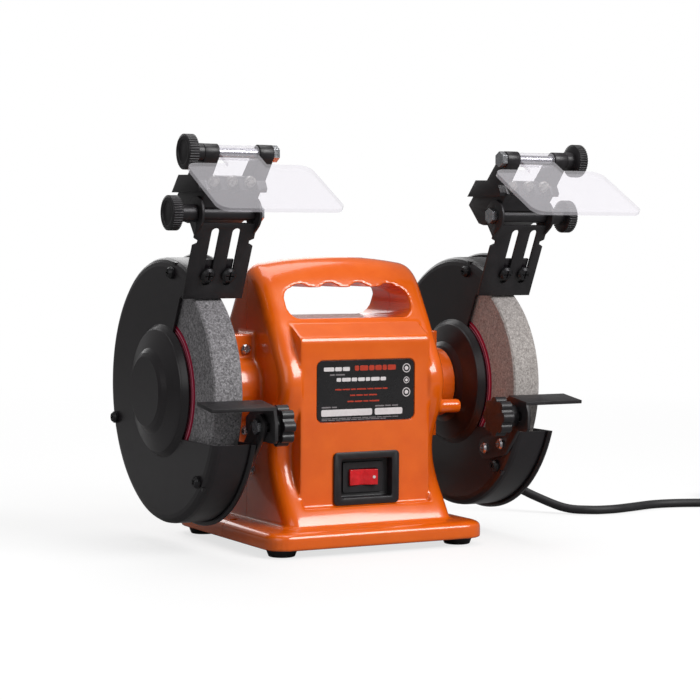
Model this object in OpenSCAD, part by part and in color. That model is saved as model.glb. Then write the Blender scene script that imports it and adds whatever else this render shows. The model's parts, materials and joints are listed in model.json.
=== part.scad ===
// Bench grinder: two wheels on one motor shaft, sheet guards, flip shields with lamps, tool rests.
// X runs along the axle, the front faces -Y, Z is up, the floor is z = 0.

/* [Wheels] */
// Diameter of a grinding wheel
wheel_d = 150; // [120:1:160]
// Thickness of a grinding wheel
wheel_t = 20; // [16:1:22]
// Distance from the middle of the machine to the middle of a wheel
wheel_x = 111; // [108:0.5:114]
// Height of the axle above the floor
axle_z = 104.5; // [102:0.5:108]
// Diameter of the paper washers glued to the wheels
blotter_d = 93; // [80:1:100]

/* [Housing] */
// Width of the housing between its two side faces
body_w = 124; // [120:1:128]
// Wall thickness of the housing
wall = 3; // [2.5:0.1:4]
// Length of the base flange along the axle
base_w = 160; // [156:1:166]
// Depth of the base flange from front to back
base_d = 154; // [150:1:160]
// Diameter of the neck that carries a bearing and a guard
neck_d = 48; // [46:1:52]

/* [Guards] */
// Outer radius of the round guard pan
guard_r = 86.8; // [84:0.2:90]
// Sheet thickness of the guards
sheet = 1.2; // [1:0.1:1.6]

/* [Shields] */
// Width of a clear eye shield
shield_w = 84; // [78:1:90]
// Length of a clear eye shield from its pivot
shield_l = 75; // [65:1:85]
// Lean of the sliding plate from upright, in degrees
plate_lean = 25; // [22:0.5:28]

/* [Tool rests] */
// Width of a tool rest plate along the axle
rest_w = 42; // [38:1:46]
// Depth of a tool rest plate
rest_d = 22; // [20:1:26]

/* [Cord] */
// Diameter of the mains cord
cord_d = 6.4; // [6:0.1:8]

/* [Build] */
// Which piece to show

/* [Hidden] */
$fn = 64;
hb = body_w / 2;
orange = [0.93, 0.36, 0.05];
black = [0.10, 0.10, 0.11];
steel = [0.72, 0.73, 0.75];
grey = [0.55, 0.54, 0.52];
plate_foot = [0, -46.5, 166];
low_axis = [-66.5, 219.5];
top_axis = [-82.5, 256.5];
rest_bolt = [-86, 87];
// Where the cord gland sits on its pad at the back.
gland_at = [44, 62.5, 30];
// The middle of the machine from front to back, shields and guards included.
mid_y = -29.7;

// Half depth of the housing against height: foot, waist, bulge at the axle, handle.
body_curve = [[14.2, 65], [21.5, 61.5], [29, 56.5], [38, 50], [48, 44], [58, 40.3], [68, 40],
  [78, 43.8], [89, 49.3], [100, 53], [110, 54], [120, 51.6], [131, 45.6], [144, 38], [157, 30.5],
  [169, 24], [179, 18.2], [186, 12.4], [190.4, 6], [192, 0]];
function both_sides(c) = concat(
  [for (p = c) [-p[1], p[0]]], [for (i = [len(c) - 2 : -1 : 0]) [c[i][1], c[i][0]]]);
body_ring = both_sides(body_curve);
// The room inside starts higher up, above the base.
room_ring = both_sides(concat([[20, 62.2]], [for (p = body_curve) if (p[0] > 25) p]));

function unit2(v) = v / max(norm(v), 0.0001);
function ring_normal(r, i) =
  let (n = len(r), a = r[(i + n - 1) % n], b = r[(i + 1) % n], t = unit2(b - a))
  (i == 0 || i == n - 1) ? [i == 0 ? -1 : 1, 0] : [-t[1], t[0]];
function inset_ring(r, d) = [for (i = [0 : len(r) - 1]) r[i] - d * ring_normal(r, i)];
// The crown of the handle drops a little towards both sides.
function arch(x, z) = z < 150 ? z : 150 + (z - 150) * (1 - 0.145 * pow(x / 62, 2));

// A closed skin through rings of points, ends capped.
module skin(rings) {
  n = len(rings[0]);
  m = len(rings);
  polyhedron(
    points = [for (r = rings) for (p = r) p],
    faces = concat(
      [[for (i = [0 : n - 1]) i]],
      [for (k = [0 : m - 2]) for (i = [0 : n - 1])
        [k * n + i, (k + 1) * n + i, (k + 1) * n + (i + 1) % n]],
      [for (k = [0 : m - 2]) for (i = [0 : n - 1])
        [k * n + i, (k + 1) * n + (i + 1) % n, k * n + (i + 1) % n]],
      [[for (i = [n - 1 : -1 : 0]) (m - 1) * n + i]]),
    convexity = 8);
}

// The swollen body: its side profile swept along X with rounded side edges, cut flat at both ends.
module swollen(half, edge, steps) {
  side = concat([[half + 1, edge * 1.08]], [for (k = [0 : steps]) let (a = 86 * (1 - k / steps))
    [half - edge + edge * sin(a), edge * (1 - cos(a))]]);
  xs = concat([for (s = side) [-s[0], s[1]]], [[-27, 0], [0, 0], [27, 0]],
    [for (k = [len(side) - 1 : -1 : 0]) side[k]]);
  intersection() {
    skin([for (s = xs) let (r = inset_ring(body_ring, s[1]))
      [for (p = r) [-s[0], p[0], arch(s[0], p[1])]]]);
    translate([-half, -100, 0]) cube([2 * half, 200, 240]);
  }
}

// Rounded rectangle as points, going round anticlockwise.
function round_rect(w, d, r) = [for (q = [0 : 3]) for (k = [0 : 5])
  let (a = q * 90 + k * 18, sx = (q == 0 || q == 3) ? 1 : -1, sy = q < 2 ? 1 : -1)
  [sx * (w / 2 - r) + r * cos(a), sy * (d / 2 - r) + r * sin(a)]];
module slab(w, d, r, h) { linear_extrude(h) polygon(round_rect(w, d, r)); }

// Turn a shape made around Z so that it lies along X, pointing to +X.
module along_x() { rotate([0, 90, 0]) children(); }
// Side profile given as [y, z] points, pushed along X from a to b.
module side_plate(a, b) {
  translate([a, 0, 0]) rotate([90, 0, 90]) linear_extrude(b - a) children();
}

module grip_opening() {
  // The finger opening under the handle, with four finger hollows along its top.
  rotate([90, 0, 0]) linear_extrude(120, center = true) union() {
    translate([0, 161.5]) polygon(round_rect(94, 20, 6));
    for (x = [-33, -11, 11, 33]) translate([x, 163.6 - abs(x) * 0.03]) circle(r = 11.2, $fn = 36);
  }
}

// Rim of the base flange: steps in from the edge against height below the top.
rim_steps = [[0, -30], [0, -5.6], [1, -3.4], [3, -2], [8, -1], [16, 0]];
function rim(half, top) = concat([for (p = rim_steps) [p[0] - half, top + p[1]]],
  [for (i = [len(rim_steps) - 1 : -1 : 0]) [half - rim_steps[i][0], top + rim_steps[i][1]]]);
module base_flange(inset) {
  top = 17.6 - inset;
  intersection() {
    translate([0, 0, inset > 0 ? 4 : 5]) slab(base_w - 2 * inset, base_d - 2 * inset, 14 - inset / 2, 20);
    side_plate(-base_w, base_w) polygon(rim(base_d / 2 - inset, top));
    rotate([0, 0, 90]) side_plate(-base_w, base_w) polygon(rim(base_w / 2 - inset, top));
  }
}

module panel_solid() {
  // Raised flat front panel with a sloping shoulder on top.
  intersection() {
    side_plate(-48.5, 48.5) polygon([[-52, 27], [-52, 137.5], [-51, 139.5], [-33, 150], [-20, 150], [-20, 27]]);
    translate([0, 0, 91]) rotate([90, 0, 0]) slab(97, 128, 5, 60);
  }
}

module neck_solid(side) {
  translate([side * (hb - 6), 0, axle_z]) rotate([0, side * 90, 0]) cylinder(d = neck_d, h = 30);
  // Clamping tabs above and below the neck, and two stay bosses.
  for (s = [-1, 1]) translate([side * (hb + 6), 0, axle_z + s * 27]) cube([20, 24, 19], center = true);
  for (y = [-40, 40]) translate([side * (hb - 4), y, 91]) rotate([0, side * 90, 0])
    cylinder(d = 9.4, h = 20, $fn = 32);
}

module clamp_places() {
  for (x = [-69, 69], z = [77.5, 131]) translate([x, 0, z]) children();
}
module deep_screw_places() {
  for (x = [-55.5, 55.5], z = [62, 142]) translate([x, 0, z]) children();
}

module housing_raw() {
  difference() {
    union() {
      difference() {
        union() {
          difference() {
            swollen(hb, 9, 4);
            translate([-48, -80, 28.6]) cube([96, 29, 111.4]);
            grip_opening();
          }
          panel_solid();
          base_flange(0);
          for (s = [-1, 1]) neck_solid(s);
          translate([gland_at[0], gland_at[1] - 6, gland_at[2]]) rotate([-90, 0, 0])
            cylinder(d = 22, h = 6, $fn = 48);
        }
        // Motor room, 3 mm inside the skin and the panel.
        difference() {
          side_plate(5 - hb, hb - 5) polygon(inset_ring(room_ring, wall + 0.4));
          translate([-70, -70, 146.3]) cube([140, 140, 60]);
          translate([-51, -80, 25.8]) cube([102, 31, 117]);
        }
        side_plate(-45.3, 45.3) polygon([[-49, 31.2], [-49, 136], [-30, 145.8], [-8, 145.8], [-8, 31.2]]);
        base_flange(wall);
        translate([-57.5, -55, 10]) cube([115, 110, 12]);
      }
      // Corner posts for the base plate screws and posts that pull the two halves together.
      for (x = [-66, 66], y = [-60, 60]) translate([x, y, 6.65]) cylinder(d = 9, h = 9.6, $fn = 20);
      for (x = [-71, 71]) translate([x, 0, 6.65]) cylinder(d = 10, h = 9.6, $fn = 24);
      deep_screw_places() rotate([90, 0, 0]) cylinder(d = 9, h = 60, center = true, $fn = 20);
    }
    // Holes to bolt the machine to a bench.
    for (x = [-71, 71]) translate([x, 0, 4]) cylinder(d = 6, h = 20, $fn = 32);
    // Seats for the bearing cups, shaft holes and the hub screw holes.
    for (s = [-1, 1]) translate([s * (hb - 12), 0, axle_z]) rotate([0, s * 90, 0]) {
      cylinder(d = 40, h = 27, $fn = 48);
      cylinder(d = 20, h = 60, $fn = 32);
    }
    for (s = [-1, 1], a = [30, 150, 270]) translate([s * 76, 0, axle_z]) rotate([a, 0, 0])
      translate([0, 0, 19.5]) rotate([0, s * 90, 0]) cylinder(d = 3.6, h = 12, $fn = 16);
    for (s = [-1, 1], y = [-40, 40]) translate([s * (hb + 2), y, 91]) rotate([0, s * 90, 0])
      cylinder(d = 4.2, h = 20, $fn = 16);
    translate([-hb - 6, -10, 51]) rotate([0, 90, 0]) cylinder(d = 3.6, h = 12, $fn = 16);
    // Clamp screw holes through tabs and posts.
    clamp_places() rotate([90, 0, 0]) cylinder(d = 3.6, h = 60, center = true, $fn = 16);
    deep_screw_places() {
      rotate([90, 0, 0]) cylinder(d = 3.6, h = 56, center = true, $fn = 16);
      rotate([-90, 0, 0]) translate([0, 0, 24]) cylinder(d = 8, h = 60, $fn = 20);
    }
    for (x = [-66, 66], y = [-60, 60]) translate([x, y, 4]) cylinder(d = 3.4, h = 9, $fn = 16);
  }
}

module housing_front() color(orange) difference() {
  intersection() {
    housing_raw();
    translate([-100, -100, 0]) cube([200, 100, 200]);
  }
  // Label recess and switch opening in the panel.
  translate([0, -51, 104.5]) rotate([90, 0, 0]) slab(74, 41.2, 4.6, 4);
  translate([0, -40, 46.8]) rotate([90, 0, 0]) slab(44, 30, 2, 20);
}

module housing_rear() color(orange) difference() {
  intersection() {
    housing_raw();
    translate([-100, 0, 0]) cube([200, 100, 200]);
  }
  // Cooling slots and the cord hole.
  for (x = [-36 : 9 : 36]) translate([x - 2, 20, 99]) cube([4, 40, 26]);
  translate([gland_at[0], 44, gland_at[2]]) rotate([-90, 0, 0]) cylinder(d = 14, h = 40, $fn = 40);
}

module pan_head(d, h, reach, shank) {
  // Screw with its head above z = 0 and its shank below.
  difference() {
    union() {
      cylinder(d = d, h = h * 0.55, $fn = 32);
      translate([0, 0, h * 0.5]) cylinder(d1 = d, d2 = d * 0.7, h = h * 0.5, $fn = 32);
      translate([0, 0, -reach]) cylinder(d = shank, h = reach + 0.3, $fn = 24);
    }
    for (a = [0, 90]) rotate([0, 0, a]) translate([-d * 0.28, -0.45, h * 0.5]) cube([d * 0.56, 0.9, h]);
  }
}

module housing_screws() color(steel) {
  clamp_places() rotate([90, 0, 0]) translate([0, 0, 12]) pan_head(6.6, 2.6, 22, 3.4);
  deep_screw_places() rotate([-90, 0, 0]) translate([0, 0, 24]) pan_head(7, 2.8, 42, 3.4);
  translate([-hb - 0.05, -10, 51]) rotate([0, -90, 0]) pan_head(6.6, 2.4, 5, 3.4);
}

module base_plate() color(black) difference() {
  translate([0, 0, 5.2]) slab(base_w - 7, base_d - 7, 10.4, 1.4);
  for (x = [-66, 66], y = [-60, 60]) translate([x, y, 4]) cylinder(d = 4.2, h = 4, $fn = 24);
  for (x = [-71, 71]) translate([x, 0, 4]) cylinder(d = 6, h = 4, $fn = 32);
  for (x = [-40 : 8 : 40]) translate([x, 0, 4]) slab(3.4, 60, 1.6, 4);
}

module base_screws() color(steel)
  for (x = [-66, 66], y = [-60, 60]) translate([x, y, 3.2]) rotate([180, 0, 0])
    pan_head(7, 2.2, 9.5, 3.2);

module feet() color(black)
  for (x = [-66, 66], y = [-60, 60]) translate([x, y, 0]) difference() {
    cylinder(d1 = 17, d2 = 21, h = 5.2, $fn = 48);
    translate([0, 0, -0.1]) cylinder(d = 7.6, h = 3.3, $fn = 32);
    translate([0, 0, 3]) cylinder(d = 3.4, h = 3, $fn = 24);
  }

module label_plate() color(black)
  translate([0, -51, 104.5]) rotate([90, 0, 0]) slab(72.8, 40, 4, 0.7);

module switch_bezel() color(black) difference() {
  union() {
    translate([0, -52, 46.8]) rotate([90, 0, 0]) slab(49, 35, 3, 1.8);
    translate([0, -44, 46.8]) rotate([90, 0, 0]) slab(43.6, 29.6, 1.8, 8.2);
  }
  translate([0, -46.5, 46.8]) rotate([90, 0, 0]) slab(38, 25.6, 1.5, 20);
  translate([0, -40, 46.8]) rotate([90, 0, 0]) slab(27, 17, 1, 12);
}

module switch_body() color(black) difference() {
  union() {
    translate([0, -28, 46.8]) rotate([90, 0, 0]) slab(26.6, 16.6, 1, 18.4);
    translate([0, -46.5, 46.8]) rotate([90, 0, 0]) slab(30, 20, 1.2, 1.6);
    for (x = [-8, 0, 8]) translate([x - 0.4, -28.5, 43.6]) cube([0.8, 9, 6.4]);
  }
  difference() {
    translate([0, -41.5, 46.8]) rotate([90, 0, 0]) slab(21.2, 11.4, 0.8, 8);
    // Pin that the rocker turns on.
    translate([0, -43.6, 40]) cylinder(d = 2.1, h = 14, $fn = 32);
  }
}

module switch_rocker() color([0.85, 0.05, 0.06])
  // The rocker lies across and rocks about an upright pin.
  translate([0, -43.6, 46.8]) {
    difference() {
      rotate([0, 0, -6]) translate([0, 0, -5.1]) linear_extrude(10.2)
        polygon([[-5, 1], [-9.95, 0], [-10.2, -3.5], [-9.9, -7.6], [0, -4.9], [9.9, -7.6], [10.2, -3.5],
          [9.95, 0], [5, 1]]);
      translate([0, 0, -9]) cylinder(d = 2.2, h = 18, $fn = 32);
    }
  }

module stator_core() color(grey)
  translate([0, 0, axle_z]) rotate([0, 90, 0]) difference() {
    intersection() {
      cylinder(d = 92, h = 42, center = true, $fn = 96);
      cube([82, 92, 60], center = true);
    }
    cylinder(d = 50, h = 60, center = true, $fn = 96);
    for (a = [0 : 15 : 359]) rotate([0, 0, a]) translate([29, 0, 0]) cube([10, 3, 60], center = true);
  }

module stator_windings() color([0.72, 0.38, 0.16])
  translate([0, 0, axle_z]) rotate([0, 90, 0]) for (s = [0, 1]) mirror([0, 0, s])
    translate([0, 0, 21.2]) rotate_extrude($fn = 96) polygon([[27.5, 0], [27.5, 9], [29.5, 12.5],
      [35, 12.5], [37, 9], [37, 0]]);

module bearing_cups() color([0.62, 0.63, 0.65])
  for (s = [-1, 1]) translate([s * (hb - 8), 0, axle_z]) rotate([0, s * 90, 0]) difference() {
    union() {
      cylinder(d = 39.8, h = 22.8);
      cylinder(d = 46, h = 2.95);
    }
    translate([0, 0, 11]) cylinder(d = 32, h = 12);
    cylinder(d = 22, h = 60, center = true);
  }

module shaft_bearings() color(steel)
  for (s = [-1, 1]) translate([s * (hb + 3), 0, axle_z]) rotate([0, s * 90, 0]) rotate_extrude($fn = 96)
    polygon([[6.05, 0.3], [6.05, 9.7], [9, 9.7], [9, 9.2], [13, 9.2], [13, 9.7], [15.97, 9.7],
      [15.97, 0.3], [13, 0.3], [13, 0.8], [9, 0.8], [9, 0.3]]);

module capacitor() color([0.85, 0.85, 0.82])
  translate([-24, 18, 28]) rotate([0, 90, 0]) cylinder(d = 24, h = 46, $fn = 48);

module terminal_block() color([0.9, 0.9, 0.86])
  translate([28, 24, 23]) difference() {
    cube([26, 14, 12]);
    for (x = [4 : 6 : 22]) translate([x, 7, 6]) cylinder(d = 3, h = 10, $fn = 24);
  }

// Mains cord: leaves the gland at the back, drops to the floor and runs away to the right.
cord_r = cord_d / 2;
cord_pts = [[44, 90.5, 30], [44.3, 103, 30], [49.2, 117.5, 30.5], [60.5, 128.6, 31.5], [77, 133.4, 33.5],
  [100, 129, 35], [128, 114, 35], [156, 94, 32], [182, 71, 24], [202, 49.5, 12], [217, 33, 4.6],
  [232, 21.8, 3.4], [250, 18.5, 3.3], [272, 23, 3.3], [294, 28.5, 3.3], [314, 27, 3.3], [334, 19.6, 3.3],
  [356, 7.4, 3.4], [380, -3, 3.8], [404, -6.2, 4.1]];
// The free end: it climbs out of the last turn, lies on the coil and rises to the plug.
tail_pts = [[397.9, 76.7, 10], [386.3, 69.3, 11.8], [378.2, 57.8, 14], [374.6, 44.5, 15.9], [374.9, 30.8, 16.8],
  [380, 17.6, 17], [389.5, 7.4, 17], [402, 1.4, 16.9], [416, 0.2, 17.2], [429.5, 4.3, 18.8], [440.5, 13, 21],
  [447, 24.5, 23.2], [450, 38, 24.9]];
plug_at = [450, 38, 24.9];
function spline(p, i, t) =
  let (n = len(p), a = p[max(i - 1, 0)], b = p[i], c = p[i + 1], d = p[min(i + 2, n - 1)])
  0.5 * (2 * b + (c - a) * t + (2 * a - 5 * b + 4 * c - d) * t * t + (3 * b - a - 3 * c + d) * t * t * t);
function smooth(p, steps) = concat(
  [for (i = [0 : len(p) - 2]) for (k = [0 : steps - 1]) spline(p, i, k / steps)], [p[len(p) - 1]]);
function dir_at(p, i) = let (n = len(p), a = p[max(i - 1, 0)], b = p[min(i + 1, n - 1)]) (b - a) / norm(b - a);
function side_of(t) = let (s = cross([0, 0, 1], t)) s / norm(s);

// A round tube along a path, as one skin.
module tube(path)
  skin([for (i = [0 : len(path) - 1]) let (t = dir_at(path, i), s = side_of(t), u = cross(t, s))
    [for (a = [0 : 36 : 359]) path[i] + cord_r * (cos(a) * s + sin(a) * u)]]);

module mains_cord() color(black) {
  tube(smooth(cord_pts, 3));
  tube(smooth(tail_pts, 2));
}

coil_at = [412, 38, 0.9];
coil_in = 28.4;
coil_out = 47.6;
module cord_coil() color(black)
  // Outer shape of the turns, three on the floor and two on top of them.
  translate(coil_at) rotate_extrude($fn = 96) polygon([[coil_in, 1.6], [coil_in + 1.6, 0], [coil_out - 1.6, 0],
    [coil_out, 1.6], [coil_out, 5.4], [coil_out - 3.4, 12.3], [coil_in + 3.4, 12.3], [coil_in, 5.4]]);

module cord_tie() color([0.2, 0.2, 0.2])
  translate([coil_at[0], coil_at[1] + 38, 0]) difference() {
    translate([0, 0, 7.05]) cube([8, 21.4, 14.1], center = true);
    translate([0, 0, 7.05]) cube([9, 19.6, 12.5], center = true);
  }

// The plug lies on the coil, tipped up a little towards its pins.
module mains_plug() color(black) translate(plug_at) rotate([-84, 0, 0]) {
  cylinder(d1 = 9, d2 = 22, h = 20, $fn = 40);
  translate([0, 0, 20]) cylinder(d = 27, h = 16, $fn = 40);
  for (x = [-9.5, 9.5]) translate([x, 0, 36]) cylinder(d = 4, h = 19, $fn = 24);
}

module cord_gland() color(black) translate(gland_at) rotate([-90, 0, 0]) rotate_extrude($fn = 48)
  polygon([[0, -20.6], [0, 28], [4.4, 28], [6.2, 3.6], [9, 3.2], [9, 0.1], [6.9, 0], [6.9, -17.8],
    [8.6, -17.8], [8.6, -20.6]]);

module shaft() color(steel)
  translate([0, 0, axle_z]) rotate([0, 90, 0]) union() {
    cylinder(d = 17, h = 2 * (hb + 1), center = true);
    cylinder(d = 12, h = 2 * (wheel_x - 11.6), center = true);
    cylinder(d = 12, h = 2 * (wheel_x + 19), center = true);
  }

module rotor_core() color(grey)
  translate([0, 0, axle_z]) rotate([0, 90, 0]) difference() {
    union() {
      cylinder(d = 49.2, h = 42, center = true, $fn = 96);
      cylinder(d = 46, h = 52, center = true, $fn = 96);
      for (a = [0 : 30 : 359]) rotate([0, 0, a]) translate([19, 0, 0]) cube([7, 1.6, 66], center = true);
    }
    cylinder(d = 17, h = 90, center = true);
  }

module on_wheels() {
  // Children drawn around +X, outward side up, at both wheels.
  for (s = [-1, 1]) translate([s * wheel_x, 0, axle_z]) rotate([0, s * 90, 0]) children();
}

module inner_flanges() color(steel) on_wheels()
  translate([0, 0, -10.7]) rotate([180, 0, 0]) rotate_extrude($fn = 96)
    polygon([[6, 0.6], [12, 0.6], [12, 0], [25, 0], [25, 2.6], [14, 4.4], [11, 9], [6, 9]]);

module outer_flanges() color(steel) on_wheels()
  translate([0, 0, 10.7]) rotate_extrude($fn = 96)
    polygon([[6, 0.6], [12, 0.6], [12, 0], [25, 0], [25, 2.6], [14, 4.2], [6, 4.2]]);

module wheel_nuts() color(steel) on_wheels()
  translate([0, 0, 14.9]) difference() {
    cylinder(d = 21, h = 7, $fn = 6);
    cylinder(d = 12, h = 20, center = true);
  }

module wheel(side) color(grey)
  translate([side * wheel_x, 0, axle_z]) rotate([0, 90, 0]) rotate_extrude($fn = 128)
    polygon([[6, -wheel_t / 2], [6, wheel_t / 2], [wheel_d / 2 - 1, wheel_t / 2],
      [wheel_d / 2, wheel_t / 2 - 1], [wheel_d / 2, 1 - wheel_t / 2], [wheel_d / 2 - 1, -wheel_t / 2]]);
module wheel_left() wheel(-1);
module wheel_right() wheel(1);

module blotters() color([0.55, 0.02, 0.16]) on_wheels() for (s = [0, 1]) mirror([0, 0, s])
  translate([0, 0, 10]) difference() {
    cylinder(d = blotter_d, h = 0.7, $fn = 96);
    cylinder(d = 12, h = 5, center = true);
  }

// Radius against depth of the pressed boss in the middle of a guard.
boss_out = [[43.5, 0], [40, 4], [38.6, 4.6], [28, 8.2], [25, 10.6], [22.6, 11.8]];
module guard_turn(shape) rotate([0, 90, 0]) rotate_extrude($fn = 128) polygon(shape);

module guard_opening() {
  // The part of the rim left open at the front for grinding.
  side_plate(-20, 20) difference() {
    polygon([[-18, 38], [-29.5, 61], [-47.5, 71], [-60.2, 98.2], [-140, 98.2], [-140, -29], [-30, -29]]);
    circle(r = 43.6, $fn = 96);
  }
}

module guard_screw_places() {
  for (a = [103, 223, 343]) rotate([a, 0, 0]) translate([0, 79, 0]) children();
}

// Pan: face towards -X, open towards +X, made about the wheel centre.
module guard_pan(hole) color(black) difference() {
  union() {
    difference() {
      guard_turn(concat([[0, -25], [22.6, -25]],
        [for (p = [boss_out[4], boss_out[3], boss_out[2], boss_out[1], boss_out[0]]) [p[0], -13.2 - p[1]]],
        [[81, -13.2], [83.5, -12.7], [85.4, -11.5], [86.5, -9.6], [guard_r, -7.4], [guard_r, 13.6],
         [guard_r - sheet, 13.6], [guard_r - sheet, -7.2], [84, -10.2], [80.6, -12],
         [44, -12], [40.6, -16.4], [28.6, -20.4], [25.6, -23], [22.6, -23.8], [0, -23.8]]));
      guard_opening();
    }
    // Outward lip that carries the sliding plate.
    translate([0, -46.5, 61.5]) rotate([plate_lean, 0, 0]) {
      translate([-12, 1.1, 8.2]) cube([24, 1.6, 18.4]);
      translate([-12, 1.1, 8.2]) cube([24, 3.6, 3]);
    }
    // Posts inside the rim for the disc screws.
    guard_screw_places() {
      rotate([0, 90, 0]) translate([0, 0, -12.4]) cylinder(d = 6, h = 26, $fn = 32);
      translate([-12.4, 0, -1.5]) cube([26, 7.2, 3]);
    }
  }
  guard_screw_places() rotate([0, 90, 0]) cylinder(d = 3.6, h = 60, center = true, $fn = 24);
  if (hole) arm_holes();
  for (x = [-7.2, 7.2]) translate([x + 2, 0, 0]) plate_hole_line(4.2);
  if (hole) {
    rotate([0, 90, 0]) cylinder(d = 20, h = 80, center = true);
    for (a = [30, 150, 270]) rotate([a, 0, 0]) translate([0, 0, 19.5]) rotate([0, 90, 0])
      cylinder(d = 4, h = 80, center = true, $fn = 24);
  }
}

module arm_holes() {
  for (p = arm_spots) translate([0, p[0], p[1] - axle_z]) rotate([0, 90, 0])
    cylinder(d = 4.1, h = 32, center = true, $fn = 24);
}

// A hole square to the sliding plate at its screw height, in wheel-centred axes.
module plate_hole_line(d) {
  translate([0, -46.5, 61.5]) rotate([plate_lean, 0, 0]) translate([0, 0, 17]) rotate([90, 0, 0])
    cylinder(d = d, h = 20, center = true, $fn = 24);
}

// Disc: closes the pan on its +X side, larger rolled rim, boss towards +X.
module guard_disc(hole) color(black) difference() {
  guard_turn(concat([[0, 23.8], [22.6, 23.8], [25.6, 23], [28.6, 20.4], [40.6, 16.4], [44, 13.7],
      [87.1, 13.7], [87.1, 11.8], [88.4, 11.8], [89.6, 13], [89.6, 14.3], [88.8, 15]],
    [for (p = boss_out) [p[0], 14.9 + p[1] * 0.855]], [[0, 25]]));
  guard_opening();
  guard_screw_places() rotate([0, 90, 0]) cylinder(d = 4.2, h = 60, center = true, $fn = 24);
  if (hole) {
    arm_holes();
    rotate([0, 90, 0]) cylinder(d = 20, h = 80, center = true);
    for (a = [30, 150, 270]) rotate([a, 0, 0]) translate([0, 0, 19.5]) rotate([0, 90, 0])
      cylinder(d = 4, h = 80, center = true, $fn = 24);
  }
}

module guard_pan_left() translate([-wheel_x, 0, axle_z]) guard_pan(false);
module guard_pan_right() translate([wheel_x, 0, axle_z]) guard_pan(true);
module guard_disc_left() translate([-wheel_x, 0, axle_z]) guard_disc(true);
module guard_disc_right() translate([wheel_x, 0, axle_z]) guard_disc(false);

module guard_screws() color(black)
  for (s = [-1, 1]) translate([s * wheel_x, 0, axle_z]) guard_screw_places()
    rotate([0, -90, 0]) {
      translate([0, 0, 13.2]) pan_head(8, 3.4, 30.4, 3.4);
      translate([0, 0, -17.3]) cylinder(d = 7, h = 2.3, $fn = 6);
    }

module hub_screws() color(steel)
  for (s = [-1, 1], a = [30, 150, 270]) translate([s * 86, 0, axle_z])
    rotate([a, 0, 0]) translate([s * 1.2, 0, 19.5]) rotate([0, s * 90, 0]) pan_head(6.2, 2, 10.2, 3.4);

// Sliding plate, drawn upright in its own plane: u along X, s up the slope.
module lean_place(x) {
  translate([x, plate_foot[1], plate_foot[2]]) rotate([plate_lean, 0, 0]) children();
}
module slide_plate(side) color(black) {
  cx = side * 109.4;
  holes = side < 0 ? -109 : 113;
  difference() {
    union() {
      lean_place(cx) rotate([90, 0, 0]) translate([0, 0, -0.9]) linear_extrude(1.6) difference() {
        polygon([[-20.7, 0], [20.7, 0], [20.7, 37], [17.6, 38.5], [17.6, 40.5], [20.7, 42], [20.7, 52.3],
          [-20.7, 52.3], [-20.7, 42], [-17.6, 40.5], [-17.6, 38.5], [-20.7, 37]]);
        for (h = [-7.2, 7.2]) hull() {
          translate([holes - cx + h, 12]) circle(d = 5.6, $fn = 24);
          translate([holes - cx + h, 46.2]) circle(d = 5.6, $fn = 24);
        }
      }
      // Side ears that carry the lower pivot bolt.
      for (x = [cx - 20.55, cx + 18.95]) side_plate(x, x + 1.6) hull() {
        translate(low_axis) circle(r = 10.5, $fn = 32);
        polygon([[-64.2, 205.5], [-68.6, 212.6], [-60, 212]]);
      }
    }
    translate([cx - 30, low_axis[0], low_axis[1]]) along_x() cylinder(d = 6.1, h = 60, $fn = 32);
  }
}
module slide_plate_left() slide_plate(-1);
module slide_plate_right() slide_plate(1);

module slide_screws() color(black)
  for (x = [-109, 113], h = [-7.2, 7.2]) lean_place(x + h)
    translate([0, -0.78, 17]) rotate([90, 0, 0]) pan_head(9.6, 3.2, 6, 4);

// Pivot bolt along X with its hex head towards the middle of the machine.
module pivot_bolt(side, yz, head_at, reach) color(steel)
  translate([side * head_at, yz[0], yz[1]]) rotate([0, side * 90, 0]) {
    cylinder(d = 10.5, h = 4, $fn = 6);
    cylinder(d = 6, h = reach, $fn = 40);
  }
module low_bolt_left() pivot_bolt(-1, low_axis, 84.6, 62.4);
module low_bolt_right() pivot_bolt(1, low_axis, 84.6, 62.4);
module top_bolt_left() pivot_bolt(-1, top_axis, 81.9, 61.1);
module top_bolt_right() pivot_bolt(1, top_axis, 81.9, 61.1);

// Ribbed clamp knob with a collar towards the machine.
module ribbed_knob(side, yz, at, collar) color(black)
  translate([side * at, yz[0], yz[1]]) rotate([0, side * 90, 0]) difference() {
    union() {
      translate([0, 0, -collar]) cylinder(d = 11, h = collar + 0.5, $fn = 40);
      cylinder(d = 20.4, h = 7.5, $fn = 48);
      for (a = [0 : 20 : 359]) rotate([0, 0, a]) translate([10.2, 0, 0]) cylinder(d = 2.2, h = 7.5, $fn = 12);
    }
    translate([0, 0, -collar - 1]) cylinder(d = 6.1, h = collar + 6, $fn = 40);
    translate([0, 0, 4.8]) cylinder(d = 9.4, h = 4, $fn = 6);
  }
module low_knob_left() ribbed_knob(-1, low_axis, 142, 11.8);
module low_knob_right() ribbed_knob(1, low_axis, 142, 11.8);
module top_knob_left() ribbed_knob(-1, top_axis, 138.6, 5.7);
module top_knob_right() ribbed_knob(1, top_axis, 138.6, 5.7);

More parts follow.
